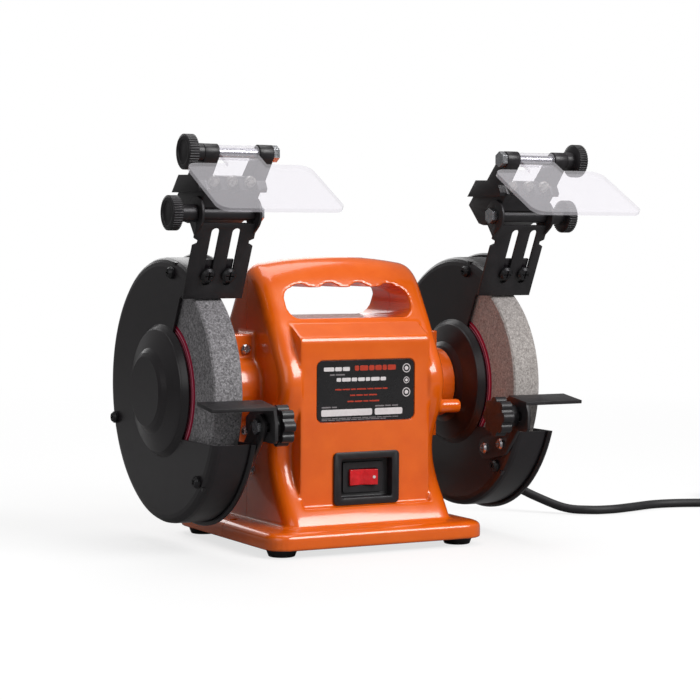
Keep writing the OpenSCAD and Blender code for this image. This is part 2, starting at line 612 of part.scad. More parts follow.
module lamp(side) color(black) {
  cx = side * 109.4;
  difference() {
    union() {
      side_plate(cx - 18.7, cx + 18.7) polygon([[-57, 216], [-50, 213.3], [-44, 214.5], [-31, 227],
        [-47, 243.5], [-62, 243.2], [-74, 242.2], [-79, 234], [-73, 227.6], [-71.5, 223]]);
      side_plate(cx - 23.4, cx + 23.4) polygon([[-36.5, 232.6], [-47, 243.5], [-62, 243.2], [-74, 242.2],
        [-78, 235], [-77, 232.6]]);
      for (x = [cx - 23.4, cx + 13.9]) side_plate(x, x + 9.5) hull() {
        translate(top_axis) circle(r = 5.4, $fn = 32);
        polygon([[-60, 242], [-74, 242], [-72, 236]]);
      }
      translate([cx - 18.7, low_axis[0], low_axis[1]]) along_x() cylinder(r = 4.5, h = 37.4, $fn = 48);
    }
    for (p = [low_axis, top_axis]) translate([cx - 30, p[0], p[1]]) along_x()
      cylinder(d = 6.1, h = 60, $fn = 40);
    // Hollow for the battery, closed all round.
    side_plate(cx - 17, cx + 17) polygon([[-50, 217.5], [-45, 217], [-35, 227.5], [-47.5, 240.5], [-55, 240],
      [-58, 230]]);
    // Seats for the three lenses.
    for (x = [-12.5, 0, 12.5]) translate([cx + x, -76.2, 238.3]) rotate([124, 0, 0]) translate([0, 0, -2.2])
      cylinder(d = 8.4, h = 8, $fn = 40);
  }
}
module lamp_left() lamp(-1);
module lamp_right() lamp(1);

module lamp_lenses(side) color([0.92, 0.94, 0.96])
  for (x = [-12.5, 0, 12.5]) translate([side * 109.4 + x, -76.2, 238.3]) rotate([124, 0, 0])
    translate([0, 0, -2.1]) {
      cylinder(d = 8.2, h = 1.6, $fn = 40);
      cylinder(d = 5, h = 2.6, $fn = 32);
    }
module lamp_lenses_left() lamp_lenses(-1);
module lamp_lenses_right() lamp_lenses(1);

// Clear shield with a barrel at its back edge, hanging forward and down from the pivot.
module shield(side) color([0.85, 0.9, 0.92, 0.4]) {
  cx = side * 109.4;
  difference() {
    translate([cx, top_axis[0], top_axis[1]]) rotate([28.5, 0, 0]) {
      translate([0, -16, -1.2]) linear_extrude(2.4) union() {
        offset(8) translate([-shield_w / 2 + 8, 16 - shield_l + 8]) square([shield_w - 16, shield_l - 33]);
        translate([-13, -8]) square([26, 20]);
      }
      translate([-13.4, 0, 0]) along_x() cylinder(r = 4.7, h = 26.8, $fn = 48);
    }
    translate([cx - 30, top_axis[0], top_axis[1]]) along_x() cylinder(d = 6.1, h = 60, $fn = 40);
  }
}
module shield_left() shield(-1);
module shield_right() shield(1);

// Inboard face of the guard that carries the arm, as a distance from the middle.
function arm_face(side) = side < 0 ? 95.95 : 97.75;
arm_spots = [[-68, 66.5], [-48, 62]];

// Flat arm bolted to the inboard side of each guard, carrying the rest bolt.
module rest_arms() color(black)
  for (s = [-1, 1]) {
    a = s < 0 ? -arm_face(s) : arm_face(s) - 2.5;
    side_plate(a, a + 2.5) difference() {
      union() {
        hull() {
          translate(rest_bolt) circle(r = 8, $fn = 32);
          translate(arm_spots[0]) circle(r = 8, $fn = 32);
        }
        hull() for (p = arm_spots) translate(p) circle(r = 8, $fn = 32);
      }
      translate(rest_bolt) circle(d = 6.1, $fn = 32);
      for (p = arm_spots) translate(p) circle(d = 4.4, $fn = 24);
    }
  }

module arm_screws() color(steel)
  for (s = [-1, 1], p = arm_spots) translate([s * (arm_face(s) - 2.5), p[0], p[1]])
    rotate([0, -s * 90, 0]) pan_head(7.6, 2.4, 4.4, 4);

// Tool rest: a level plate at the wheel with a slotted leg beside the guard.
module rest(side) color(black) {
  leg = arm_face(side) - 2.8;
  lift = side < 0 ? 3 : 0;
  difference() {
    union() {
      translate([side * leg, -80, 98 + lift]) rotate([8, 0, 0])
        translate([side > 0 ? -2.2 : -rest_w, -rest_d, 0]) cube([rest_w + 2.2, rest_d, 2.2]);
      side_plate(side > 0 ? leg - 2.2 : -leg, side > 0 ? leg : 2.2 - leg)
        polygon([[-80, 99 + lift], [-101.5, 96 + lift], [-104, 90], [-104, 79.5], [-102, 77.5], [-72, 77.5],
          [-66, 80], [-62.5, 84.5], [-62.5, 91]]);
    }
    translate([side * leg - 6, 0, 0]) side_plate(0, 12) hull() {
      translate([rest_bolt[0] + 14, rest_bolt[1]]) circle(d = 6.6, $fn = 32);
      translate([rest_bolt[0] - 8, rest_bolt[1]]) circle(d = 6.6, $fn = 32);
    }
  }
}
module rest_left() rest(-1);
module rest_right() rest(1);

module rest_bolt_part(side) color(steel)
  translate([side * (arm_face(side) + 2.25), rest_bolt[0], rest_bolt[1]]) rotate([0, -side * 90, 0]) {
    cylinder(d = 10, h = 2.2, $fn = 6);
    cylinder(d = 6, h = 18.8, $fn = 40);
  }
module rest_bolt_left() rest_bolt_part(-1);
module rest_bolt_right() rest_bolt_part(1);

// Lobed clamp knob: a round collar against the leg, then the lobed grip.
module rest_knob(side) color(black)
  translate([side * (arm_face(side) - 5.1), rest_bolt[0], rest_bolt[1]]) rotate([0, -side * 90, 0])
  difference() {
    union() {
      cylinder(d = 15, h = 8, $fn = 48);
      translate([0, 0, 7]) cylinder(d = 22, h = 8, $fn = 48);
      for (a = [0 : 45 : 359]) rotate([0, 0, a]) translate([9.6, 0, 7]) cylinder(d = 7, h = 8, $fn = 24);
    }
    translate([0, 0, -1]) cylinder(d = 6.1, h = 13, $fn = 40);
  }
module rest_knob_left() rest_knob(-1);
module rest_knob_right() rest_knob(1);

// Puts the middle of the machine over the origin.
module placed() translate([0, -mid_y, 0]) children();

// ---- Pieces
placed() housing_front();
placed() housing_rear();
placed() housing_screws();
placed() base_plate();
placed() base_screws();
placed() feet();
placed() label_plate();
placed() switch_bezel();
placed() switch_body();
placed() switch_rocker();
placed() stator_core();
placed() stator_windings();
placed() bearing_cups();
placed() shaft_bearings();
placed() capacitor();
placed() terminal_block();
placed() cord_gland();
placed() mains_cord();
placed() cord_coil();
placed() mains_plug();
placed() cord_tie();
placed() shaft();
placed() rotor_core();
placed() inner_flanges();
placed() outer_flanges();
placed() wheel_nuts();
placed() wheel_left();
placed() wheel_right();
placed() blotters();
placed() guard_pan_left();
placed() guard_pan_right();
placed() guard_disc_left();
placed() guard_disc_right();
placed() guard_screws();
placed() hub_screws();
placed() slide_plate_left();
placed() slide_plate_right();
placed() slide_screws();
placed() low_bolt_left();
placed() low_bolt_right();
placed() low_knob_left();
placed() low_knob_right();
placed() lamp_left();
placed() lamp_right();
placed() lamp_lenses_left();
placed() lamp_lenses_right();
placed() top_bolt_left();
placed() top_bolt_right();
placed() top_knob_left();
placed() top_knob_right();
placed() shield_left();
placed() shield_right();
placed() rest_arms();
placed() arm_screws();
placed() rest_left();
placed() rest_right();
placed() rest_bolt_left();
placed() rest_bolt_right();
placed() rest_knob_left();
placed() rest_knob_right();
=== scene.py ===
import json
import math

import bmesh
import bpy
from mathutils import Matrix, Vector


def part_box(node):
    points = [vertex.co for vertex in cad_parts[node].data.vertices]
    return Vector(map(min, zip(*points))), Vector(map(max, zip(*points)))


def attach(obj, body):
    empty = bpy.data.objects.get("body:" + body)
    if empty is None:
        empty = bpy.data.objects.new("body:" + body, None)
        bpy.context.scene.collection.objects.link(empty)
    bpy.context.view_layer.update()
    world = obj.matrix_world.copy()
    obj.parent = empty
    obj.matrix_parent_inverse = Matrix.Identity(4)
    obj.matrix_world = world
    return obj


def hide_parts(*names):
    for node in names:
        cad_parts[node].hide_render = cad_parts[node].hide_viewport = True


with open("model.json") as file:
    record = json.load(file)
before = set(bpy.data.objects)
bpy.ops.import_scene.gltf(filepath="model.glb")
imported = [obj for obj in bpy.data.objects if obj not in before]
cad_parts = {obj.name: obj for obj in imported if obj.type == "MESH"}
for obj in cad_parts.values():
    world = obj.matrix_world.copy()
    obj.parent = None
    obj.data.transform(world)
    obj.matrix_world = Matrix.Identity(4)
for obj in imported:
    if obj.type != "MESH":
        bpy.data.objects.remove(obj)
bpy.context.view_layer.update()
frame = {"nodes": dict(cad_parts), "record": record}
nodes = frame["nodes"]
shaftLow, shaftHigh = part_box("shaft")
axleY = (shaftLow[1] + shaftHigh[1]) / 2
axleZ = (shaftLow[2] + shaftHigh[2]) / 2
print("frame loaded")


def at(x, y, z):
    # Machine millimetres, measured from the floor under the axle, to metres in the frame.
    return Vector((x / 1000, y / 1000 + axleY, z / 1000))


# ---- Camera

camera = {
    "place": (-684.3, -1281.1, 208.5),
    "yaw": 28.35,
    "pitch": 4.42,
    "roll": 0.31,
    "lens": 110.25,
    "shift": (0.0171, 0.0676),
}


def makeCamera():
    yaw, pitch, roll = (math.radians(camera[k]) for k in ("yaw", "pitch", "roll"))
    forward = Vector((math.sin(yaw) * math.cos(pitch), math.cos(yaw) * math.cos(pitch), -math.sin(pitch)))
    right = Vector((math.cos(yaw), -math.sin(yaw), 0))
    up = right.cross(forward)
    turnedRight = right * math.cos(roll) + up * math.sin(roll)
    turnedUp = up * math.cos(roll) - right * math.sin(roll)
    data = bpy.data.cameras.new("camera")
    data.lens = camera["lens"]
    data.shift_x, data.shift_y = camera["shift"]
    data.clip_end = 50
    obj = bpy.data.objects.new("camera", data)
    turn = Matrix((turnedRight, turnedUp, -forward)).transposed().to_4x4()
    obj.matrix_world = Matrix.Translation(at(*camera["place"])) @ turn
    bpy.context.collection.objects.link(obj)
    bpy.context.scene.camera = obj


makeCamera()
print("camera placed")


# ---- Materials

def linear(colour):
    parts = [int(colour[i:i + 2], 16) / 255 for i in (1, 3, 5)]
    return [p / 12.92 if p <= 0.04045 else ((p + 0.055) / 1.055) ** 2.4 for p in parts] + [1]


def addNode(tree, kind, inputs=None, **settings):
    node = tree.nodes.new(kind)
    for name, value in settings.items():
        setattr(node, name, value)
    for key, value in (inputs or {}).items():
        if isinstance(value, bpy.types.NodeSocket):
            tree.links.new(value, node.inputs[key])
        else:
            node.inputs[key].default_value = value
    return node


def ramp(tree, fac, stops, interpolation="LINEAR"):
    node = addNode(tree, "ShaderNodeValToRGB", {"Fac": fac})
    node.color_ramp.interpolation = interpolation
    while len(node.color_ramp.elements) < len(stops):
        node.color_ramp.elements.new(0.5)
    for element, (place, colour) in zip(node.color_ramp.elements, stops):
        element.position = place
        element.color = linear(colour) if isinstance(colour, str) else (colour, colour, colour, 1)
    return node.outputs["Color"]


def startMaterial(name):
    material = bpy.data.materials.new(name)
    material.use_nodes = True
    tree = material.node_tree
    tree.nodes.clear()
    return material, tree


# What each finish looks like. Grain sizes are in millimetres.
finishes = {
    # Moulded ABS, spray painted: gloss with a faint orange peel.
    "orangePaint": dict(light="#F0690A", dark="#E86007", grain=18, rough=(0.2, 0.27), bumpGrain=0.9,
                        bump=0.012, coat=0.75, coatRough=0.07, edge=0.5),
    # Pressed sheet steel, powder coated satin black.
    "guardPaint": dict(light="#211C20", dark="#1A1619", grain=14, rough=(0.28, 0.35), bumpGrain=0.5,
                       bump=0.03, coat=0.15, coatRough=0.25, edge=0.35),
    # Bent strip steel with the same coat, a little duller.
    "bracketPaint": dict(light="#262325", dark="#1C1A1C", grain=9, rough=(0.4, 0.52), bumpGrain=0.45,
                         bump=0.05, coat=0.0, coatRough=0.3, edge=0.3),
    # Moulded black ABS, as it leaves a lightly etched mould.
    "blackPlastic": dict(light="#242124", dark="#1A181A", grain=6, rough=(0.34, 0.42), bumpGrain=0.3,
                         bump=0.04, coat=0.0, coatRough=0.3, edge=0.35),
    # Soft rubber with a dull skin.
    "blackRubber": dict(light="#242325", dark="#1A191B", grain=5, rough=(0.5, 0.62), bumpGrain=0.4,
                        bump=0.05, coat=0.0, coatRough=0.4, edge=0.4),
    # Zinc-plated steel fasteners.
    "platedSteel": dict(light="#C9CACD", dark="#B1B2B6", grain=3, rough=(0.2, 0.32), bumpGrain=0.25,
                        bump=0.03, coat=0.0, coatRough=0.1, edge=0.25, metallic=1.0),
    # Blackened steel screws.
    "blackSteel": dict(light="#2A292B", dark="#1C1B1D", grain=3, rough=(0.3, 0.42), bumpGrain=0.25,
                       bump=0.03, coat=0.0, coatRough=0.2, edge=0.25, metallic=0.35),
    # Turned mild steel.
    "turnedSteel": dict(light="#A9AAAC", dark="#8F9092", grain=4, rough=(0.28, 0.4), bumpGrain=0.2,
                        bump=0.05, coat=0.0, coatRough=0.2, edge=0.3, metallic=1.0),
    # Die-cast aluminium cups.
    "castAlloy": dict(light="#B4B6B8", dark="#9C9EA0", grain=5, rough=(0.42, 0.55), bumpGrain=0.6,
                      bump=0.08, coat=0.0, coatRough=0.2, edge=0.4, metallic=1.0),
    # Stacked electrical steel, blued.
    "lamination": dict(light="#6E7074", dark="#54565B", grain=0.5, rough=(0.4, 0.55), bumpGrain=0.5,
                       bump=0.1, coat=0.0, coatRough=0.2, edge=0.3, metallic=0.9),
    # Enamelled copper wire under varnish.
    "copperWinding": dict(light="#B5622B", dark="#8A4318", grain=1.2, rough=(0.25, 0.4), bumpGrain=0.9,
                          bump=0.35, coat=0.5, coatRough=0.1, edge=0.5, metallic=0.7),
    # Plain white moulded plastic.
    "whitePlastic": dict(light="#E2E0D8", dark="#D6D3CA", grain=8, rough=(0.35, 0.45), bumpGrain=0.5,
                         bump=0.03, coat=0.0, coatRough=0.2, edge=0.4),
    # Printed polyester label film over black.
    "labelFilm": dict(light="#161416", dark="#100F11", grain=12, rough=(0.24, 0.3), bumpGrain=1.0,
                      bump=0.01, coat=0.3, coatRough=0.12, edge=0.3),
    "printWhite": dict(light="#E9E4E4", dark="#DDD6D7", grain=3, rough=(0.35, 0.4), bumpGrain=1.0,
                       bump=0.01, coat=0.2, coatRough=0.15, edge=0.1),
    "printRed": dict(light="#C2391D", dark="#B03018", grain=3, rough=(0.35, 0.4), bumpGrain=1.0,
                     bump=0.01, coat=0.2, coatRough=0.15, edge=0.1),
    "printGrey": dict(light="#8A8486", dark="#7A7476", grain=3, rough=(0.35, 0.4), bumpGrain=1.0,
                      bump=0.01, coat=0.2, coatRough=0.15, edge=0.1),
}


def paintedMaterial(name, spec):
    # Slow colour drift, uneven gloss, a fine surface texture and softened edges.
    material, tree = startMaterial(name)
    place = addNode(tree, "ShaderNodeTexCoord").outputs["Object"]
    drift = addNode(tree, "ShaderNodeTexNoise",
                    {"Vector": place, "Scale": 1000 / spec["grain"], "Detail": 4.0, "Roughness": 0.6})
    colour = ramp(tree, drift.outputs["Fac"], [(0.3, spec["dark"]), (0.7, spec["light"])])
    low, high = spec["rough"]
    gloss = ramp(tree, drift.outputs["Fac"], [(0.3, low), (0.7, high)])
    fine = addNode(tree, "ShaderNodeTexNoise",
                   {"Vector": place, "Scale": 1000 / spec["bumpGrain"], "Detail": 2.0})
    edge = addNode(tree, "ShaderNodeBevel", {"Radius": spec["edge"] / 1000}, samples=4)
    bump = addNode(tree, "ShaderNodeBump", {
        "Height": fine.outputs["Fac"], "Strength": 1.0, "Distance": spec["bump"] / 1000,
        "Normal": edge.outputs["Normal"]})
    shader = addNode(tree, "ShaderNodeBsdfPrincipled", {
        "Base Color": colour, "Roughness": gloss, "Metallic": spec.get("metallic", 0.0),
        "Coat Weight": spec["coat"], "Coat Roughness": spec["coatRough"], "Normal": bump.outputs["Normal"]})
    addNode(tree, "ShaderNodeOutputMaterial", {"Surface": shader.outputs["BSDF"]})
    return material


def gritMaterial(name, light, middle, dark):
    # Vitrified grit: pale and dark grains about 0.8 mm across, drawn a little coarse so that they show.
    material, tree = startMaterial(name)
    place = addNode(tree, "ShaderNodeTexCoord").outputs["Object"]
    grains = addNode(tree, "ShaderNodeTexVoronoi", {"Vector": place, "Scale": 1000 / 0.95})
    speck = addNode(tree, "ShaderNodeTexNoise", {"Vector": place, "Scale": 1000 / 1.5, "Detail": 6.0,
                                                 "Roughness": 0.75})
    base = ramp(tree, speck.outputs["Fac"], [(0.38, dark), (0.5, middle), (0.62, light)])
    tint = ramp(tree, grains.outputs["Color"], [(0.0, dark), (0.45, middle), (1.0, light)])
    mixed = addNode(tree, "ShaderNodeMixRGB", {"Fac": 0.45, "Color1": base, "Color2": tint})
    bump = addNode(tree, "ShaderNodeBump", {"Height": speck.outputs["Fac"], "Strength": 1.0,
                                            "Distance": 0.0005})
    shader = addNode(tree, "ShaderNodeBsdfPrincipled", {
        "Base Color": mixed.outputs[0], "Roughness": 0.88, "Specular IOR Level": 0.3,
        "Normal": bump.outputs["Normal"]})
    addNode(tree, "ShaderNodeOutputMaterial", {"Surface": shader.outputs["BSDF"]})
    return material


def blotterMaterial():
    # Crimson card washer with thin pale printed rings and a faint paper fibre.
    material, tree = startMaterial("blotterCard")
    place = addNode(tree, "ShaderNodeTexCoord").outputs["Object"]
    split = addNode(tree, "ShaderNodeSeparateXYZ",
                    {"Vector": addNode(tree, "ShaderNodeMapping",
                                       {"Vector": place, "Location": (0, -axleY, -axleZ)}).outputs[0]})
    ySquared = addNode(tree, "ShaderNodeMath", {0: split.outputs["Y"], 1: 2.0}, operation="POWER")
    zSquared = addNode(tree, "ShaderNodeMath", {0: split.outputs["Z"], 1: 2.0}, operation="POWER")
    total = addNode(tree, "ShaderNodeMath", {0: ySquared.outputs[0], 1: zSquared.outputs[0]}, operation="ADD")
    radius = addNode(tree, "ShaderNodeMath", {0: total.outputs[0], 1: 0.5}, operation="POWER")
    scaled = addNode(tree, "ShaderNodeMath", {0: radius.outputs[0], 1: 20.0}, operation="MULTIPLY")
    red, pale = "#B0123F", "#E79AAA"
    stops = [(0.0, red)]
    for ringRadius in (38.6, 40.6, 42.6, 44.6):
        stops += [((ringRadius - 0.35) / 50, pale), ((ringRadius + 0.35) / 50, red)]
    colour = ramp(tree, scaled.outputs[0], stops, "CONSTANT")
    fibre = addNode(tree, "ShaderNodeTexNoise", {"Vector": place, "Scale": 1500.0, "Detail": 3.0})
    bump = addNode(tree, "ShaderNodeBump", {"Height": fibre.outputs["Fac"], "Distance": 0.00006})
    shader = addNode(tree, "ShaderNodeBsdfPrincipled",
                     {"Base Color": colour, "Roughness": 0.5, "Normal": bump.outputs["Normal"]})
    addNode(tree, "ShaderNodeOutputMaterial", {"Surface": shader.outputs["BSDF"]})
    return material


def clearMaterial():
    # Clear polycarbonate sheet, 2.4 mm, with a slightly milky tint and a bright cut edge.
    material, tree = startMaterial("clearSheet")
    place = addNode(tree, "ShaderNodeTexCoord").outputs["Object"]
    haze = addNode(tree, "ShaderNodeTexNoise", {"Vector": place, "Scale": 60.0, "Detail": 3.0})
    rough = ramp(tree, haze.outputs["Fac"], [(0.3, 0.03), (0.7, 0.07)])
    clear = addNode(tree, "ShaderNodeBsdfTransparent", {"Color": linear("#FAF9FB")})
    shine = addNode(tree, "ShaderNodeBsdfPrincipled", {
        "Base Color": linear("#F2F0F4"), "Roughness": rough, "Coat Weight": 0.2})
    facing = addNode(tree, "ShaderNodeLayerWeight", {"Blend": 0.5})
    square = addNode(tree, "ShaderNodeMath", {0: facing.outputs["Facing"], 1: 2.0}, operation="POWER")
    # More of the haze shows at a flat angle: 9% square on, 44% edge on.
    share = addNode(tree, "ShaderNodeMath", {0: square.outputs[0], 1: 0.35, 2: 0.09},
                    operation="MULTIPLY_ADD")
    mix = addNode(tree, "ShaderNodeMixShader",
                  {0: share.outputs[0], 1: clear.outputs[0], 2: shine.outputs[0]})
    addNode(tree, "ShaderNodeOutputMaterial", {"Surface": mix.outputs[0]})
    return material


def rockerMaterial():
    # Translucent red rocker with a soft inner glow where the lamp sits.
    material, tree = startMaterial("redRocker")
    place = addNode(tree, "ShaderNodeTexCoord").outputs["Object"]
    cloud = addNode(tree, "ShaderNodeTexNoise", {"Vector": place, "Scale": 160.0, "Detail": 2.0})
    colour = ramp(tree, cloud.outputs["Fac"], [(0.3, "#C30A14"), (0.7, "#E5202A")])
    edge = addNode(tree, "ShaderNodeBevel", {"Radius": 0.0005}, samples=4)
    shader = addNode(tree, "ShaderNodeBsdfPrincipled", {
        "Base Color": colour, "Roughness": 0.16, "Subsurface Weight": 0.2,
        "Subsurface Radius": (0.004, 0.001, 0.001), "Coat Weight": 0.5, "Coat Roughness": 0.05,
        "Normal": edge.outputs["Normal"]})
    addNode(tree, "ShaderNodeOutputMaterial", {"Surface": shader.outputs["BSDF"]})
    return material


def lensMaterial():
    # Clear moulded lens over a pale yellow chip.
    material, tree = startMaterial("lampLens")
    place = addNode(tree, "ShaderNodeTexCoord").outputs["Object"]
    cloud = addNode(tree, "ShaderNodeTexNoise", {"Vector": place, "Scale": 500.0})
    colour = ramp(tree, cloud.outputs["Fac"], [(0.35, "#6F6D68"), (0.65, "#B5B2AA")])
    shader = addNode(tree, "ShaderNodeBsdfPrincipled", {
        "Base Color": colour, "Roughness": 0.08, "Coat Weight": 1.0, "Coat Roughness": 0.03})
    addNode(tree, "ShaderNodeOutputMaterial", {"Surface": shader.outputs["BSDF"]})
    return material


paints = {name: paintedMaterial(name, spec) for name, spec in finishes.items()}
paints["gritGrey"] = gritMaterial("gritGrey", "#B9B6B9", "#7E7C7E", "#4C4A4D")
paints["gritPale"] = gritMaterial("gritPale", "#D0C9C5", "#A7A19D", "#7C7673")
paints["blotterCard"] = blotterMaterial()
paints["clearSheet"] = clearMaterial()
paints["redRocker"] = rockerMaterial()
paints["lampLens"] = lensMaterial()

slotPaint = {
    "housing_paint": "orangePaint", "guard_paint": "guardPaint", "bracket_black": "bracketPaint",
    "black_plastic": "blackPlastic", "rubber_black": "blackRubber", "label_film": "labelFilm",
    "rocker_red": "redRocker", "grit_dark": "gritGrey", "grit_light": "gritPale",
    "blotter_paper": "blotterCard", "steel_plain": "turnedSteel", "steel_plated": "platedSteel",
    "cast_alloy": "castAlloy", "lamination": "lamination", "copper_winding": "copperWinding",
    "white_plastic": "whitePlastic", "clear_sheet": "clearSheet", "lens_clear": "lampLens",
}
nodeSlot = {part["node"]: part["material_slot"] for part in frame["record"]["subparts"]}
bodyOf = {node: body for body, held in frame["record"]["behaviour"]["bodies"].items() for node in held}
blackScrews = ("guard_screws", "slide_screws")


def paintFor(node):
    return paints["blackSteel"] if node in blackScrews else paints[slotPaint[nodeSlot[node]]]


for name, obj in nodes.items():
    obj.data.materials.clear()
    obj.data.materials.append(paintFor(name))
print("materials made")


# ---- Mesh helpers

def linkMesh(name, bm):
    mesh = bpy.data.meshes.new(name)
    bm.to_mesh(mesh)
    bm.free()
    obj = bpy.data.objects.new(name, mesh)
    bpy.context.collection.objects.link(obj)
    return obj


def finishPiece(obj, body, paint, replaced=(), angle=32):
    obj.data.materials.clear()
    obj.data.materials.append(paint)
    for polygon in obj.data.polygons:
        polygon.use_smooth = True
    obj.data.set_sharp_from_angle(angle=math.radians(angle))
    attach(obj, body)
    if replaced:
        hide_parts(*replaced)
    return obj


def bake(obj, *modifiers):
    # Adds the modifiers, keeps their result as a plain mesh and takes them off again.
    for kind, settings in modifiers:
        modifier = obj.modifiers.new(kind.title(), kind)
        for name, value in settings.items():
            setattr(modifier, name, value)
    made = bpy.data.meshes.new_from_object(obj.evaluated_get(bpy.context.evaluated_depsgraph_get()))
    obj.modifiers.clear()
    obj.data = made
    return obj


def prism(name, outline, low, high):
    # A [y, z] outline in machine millimetres pushed along X.
    bm = bmesh.new()
    loops = [[bm.verts.new(at(x, y, z)) for y, z in outline] for x in (low, high)]
    bm.faces.new(loops[0][::-1])
    bm.faces.new(loops[1])
    for i in range(len(outline)):
        j = (i + 1) % len(outline)
        bm.faces.new((loops[0][i], loops[0][j], loops[1][j], loops[1][i]))
    bmesh.ops.recalc_face_normals(bm, faces=bm.faces)
    return linkMesh(name, bm)


def block(name, low, high):
    (x0, y0, z0), (x1, y1, z1) = low, high
    return prism(name, [(y0, z0), (y1, z0), (y1, z1), (y0, z1)], x0, x1)


def upright(name, outline, low, high):
    # An [x, y] outline in machine millimetres pushed up along Z.
    bm = bmesh.new()
    loops = [[bm.verts.new(at(x, y, z)) for x, y in outline] for z in (low, high)]
    bm.faces.new(loops[0][::-1])
    bm.faces.new(loops[1])
    for i in range(len(outline)):
        j = (i + 1) % len(outline)
        bm.faces.new((loops[0][i], loops[0][j], loops[1][j], loops[1][i]))
    return linkMesh(name, bm)


def lathe(name, start, along, profile, sides=72):
    # Turns (radius, distance) points about a line from start, along a unit direction.
    bm = bmesh.new()
    turn = Vector(along).to_track_quat("Z", "Y").to_matrix()
    loops = [[bm.verts.new(at(*(Vector(start) + turn @ Vector((r * math.cos(2 * math.pi * k / sides),
                                                               r * math.sin(2 * math.pi * k / sides), t)))))
              for k in range(sides)] for r, t in profile]
    for a, b in zip(loops, loops[1:]):
        for i in range(sides):
            j = (i + 1) % sides
            bm.faces.new((a[i], a[j], b[j], b[i]))
    bm.faces.new(loops[0][::-1])
    bm.faces.new(loops[-1])
    bmesh.ops.recalc_face_normals(bm, faces=bm.faces)
    return linkMesh(name, bm)


def softened(node, width, angle=30):
    # A copy of a CAD node with its flat faces joined up and its sharp edges rounded.
    bm = bmesh.new()
    bm.from_mesh(nodes[node].data)
    bmesh.ops.remove_doubles(bm, verts=bm.verts, dist=0.000002)
    bmesh.ops.dissolve_limit(bm, angle_limit=math.radians(1), verts=bm.verts, edges=bm.edges)
    sharp = [e for e in bm.edges if len(e.link_faces) == 2 and e.calc_face_angle(0) > math.radians(angle)]
    bmesh.ops.bevel(bm, geom=sharp, offset=width / 1000, offset_type="OFFSET", segments=2, profile=0.5,
                    affect="EDGES", clamp_overlap=True)
    words = node.split("_")
    obj = linkMesh(words[0] + "".join(word.title() for word in words[1:]), bm)
    bake(obj, ("WEIGHTED_NORMAL", {"keep_sharp": True}))
    return finishPiece(obj, bodyOf[node], paintFor(node), (node,), 50)


def rounded(width, height, radius, steps=6):
    corners = ((1, 1, 0), (-1, 1, 90), (-1, -1, 180), (1, -1, 270))
    return [(sx * (width / 2 - radius) + radius * math.cos(math.radians(start + 90 * k / steps)),
             sy * (height / 2 - radius) + radius * math.sin(math.radians(start + 90 * k / steps)))
            for sx, sy, start in corners for k in range(steps + 1)]


def plaque(name, middle, width, height, radius, depth):
    # A rounded rectangle facing -Y: its front lies at middle, its back depth further in.
    x, y, z = middle
    bm = bmesh.new()
    outline = rounded(width, height, radius)
    loops = [[bm.verts.new(at(x + u, y + back, z + v)) for u, v in outline] for back in (0, depth)]
    bm.faces.new(loops[0])
    bm.faces.new(loops[1][::-1])
    for i in range(len(outline)):
        j = (i + 1) % len(outline)
        bm.faces.new((loops[0][j], loops[0][i], loops[1][i], loops[1][j]))
    bmesh.ops.recalc_face_normals(bm, faces=bm.faces)
    return linkMesh(name, bm)


def rod(name, start, end, radius, sides=48):
    bm = bmesh.new()
    a, b = at(*start), at(*end)
    turn = (b - a).to_track_quat("Z", "Y").to_matrix().to_4x4()
    bmesh.ops.create_cone(bm, cap_ends=True, segments=sides, radius1=radius / 1000, radius2=radius / 1000,
                          depth=(b - a).length, matrix=Matrix.Translation((a + b) / 2) @ turn)
    return linkMesh(name, bm)


def combine(obj, other, operation):
    bake(obj, ("BOOLEAN", {"operation": operation, "object": other, "solver": "EXACT"}))
    bpy.data.objects.remove(other)
    return obj


# ---- Cord

cord = {
    "diameter": 6.4,
    "route": [(44, 90.5, 30), (44.3, 103, 30), (49.2, 117.5, 30.5), (60.5, 128.6, 31.5), (77, 133.4, 33.5),
              (100, 129, 35), (128, 114, 35), (156, 94, 32), (182, 71, 24), (202, 49.5, 12), (217, 33, 4.6),
              (232, 21.8, 3.4), (250, 18.5, 3.3), (272, 23, 3.3), (294, 28.5, 3.3), (314, 27, 3.3),
              (334, 19.6, 3.3), (356, 7.4, 3.4), (380, -3, 3.8), (404, -6.2, 4.1)],
    "tail": [(397.9, 76.7, 10), (386.3, 69.3, 11.8), (378.2, 57.8, 14), (374.6, 44.5, 15.9),
             (374.9, 30.8, 16.8), (380, 17.6, 17), (389.5, 7.4, 17), (402, 1.4, 16.9), (416, 0.2, 17.2),
             (429.5, 4.3, 18.8), (440.5, 13, 21), (447, 24.5, 23.2), (450, 38, 24.9)],
    "coilMiddle": (412, 38),
    "tracks": [(44.4, 4.1), (37.9, 4.1), (31.4, 4.1), (34.7, 9.75), (41.2, 9.75)],
}


def easeStep(t):
    t = min(max(t, 0), 1)
    return t * t * (3 - 2 * t)


def smoothRoute(points, steps):
    made = []
    for i in range(len(points) - 1):
        a, b = Vector(points[max(i - 1, 0)]), Vector(points[i])
        c, d = Vector(points[i + 1]), Vector(points[min(i + 2, len(points) - 1)])
        for k in range(steps):
            t = k / steps
            made.append(0.5 * (2 * b + (c - a) * t + (2 * a - 5 * b + 4 * c - d) * t * t
                               + (3 * b - a - 3 * c + d) * t ** 3))
    return made + [Vector(points[-1])]


